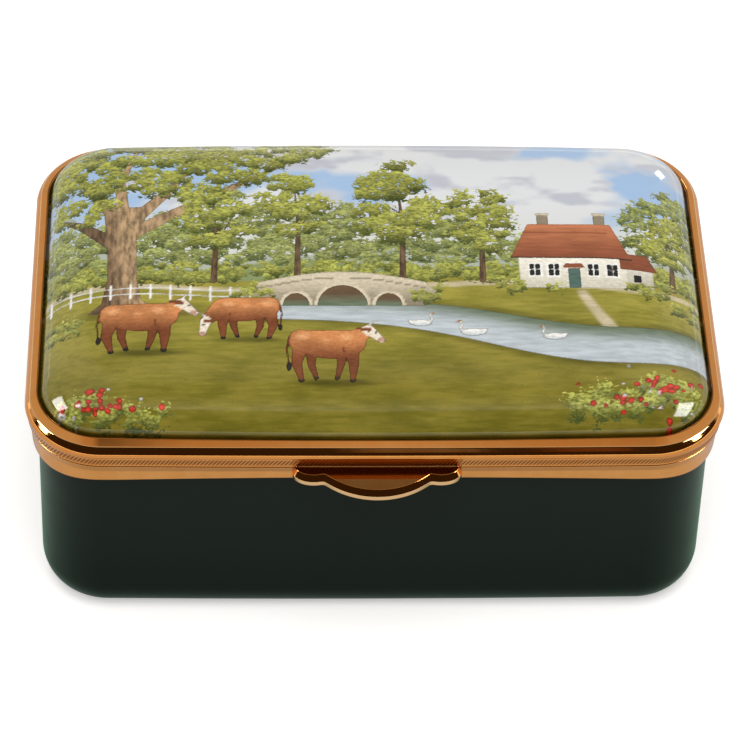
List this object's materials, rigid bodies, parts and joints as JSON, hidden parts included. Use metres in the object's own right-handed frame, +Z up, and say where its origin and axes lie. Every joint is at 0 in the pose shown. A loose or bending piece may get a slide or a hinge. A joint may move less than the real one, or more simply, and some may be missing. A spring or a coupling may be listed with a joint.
{
  "type": "enamel trinket box",
  "caption": "Rectangular enamelled keepsake box with a domed painted lid, gilt mounts round both rims, a front thumbpiece and a back hinge.",
  "frame": {"origin": "middle of the underside", "axes": "+X to the right along the hinge, +Y to the hinge at the back, +Z up"},
  "size_m": [0.108, 0.0775, 0.0461],
  "materials": {
    "green_enamel": "dark green glossy enamel outside, white enamel inside",
    "painted_enamel": "painted landscape under a clear glossy enamel",
    "gilt": "rose gold plating, polished bezel and thumbpiece, satin bands",
    "pin_brass": "drawn brass"
  },
  "bodies": {
    "base": {"base_body": "green_enamel", "base_mount": "gilt", "base_collar": "gilt", "base_knuckle_left": "gilt", "base_knuckle_centre": "gilt", "base_knuckle_right": "gilt", "hinge_pin": "pin_brass"},
    "lid": {"lid_mount": "gilt", "lid_inner_rim": "gilt", "lid_panel": "painted_enamel", "lid_knuckle_left": "gilt", "lid_knuckle_right": "gilt", "thumbpiece": "gilt"}
  },
  "joints": [
    {"name": "lid_hinge", "type": "hinge", "parent": "base", "child": "lid", "pos_m": [0, 0.0362, 0.03478], "axis": [-1, 0, 0], "range_deg": [0, 105]}
  ]
}
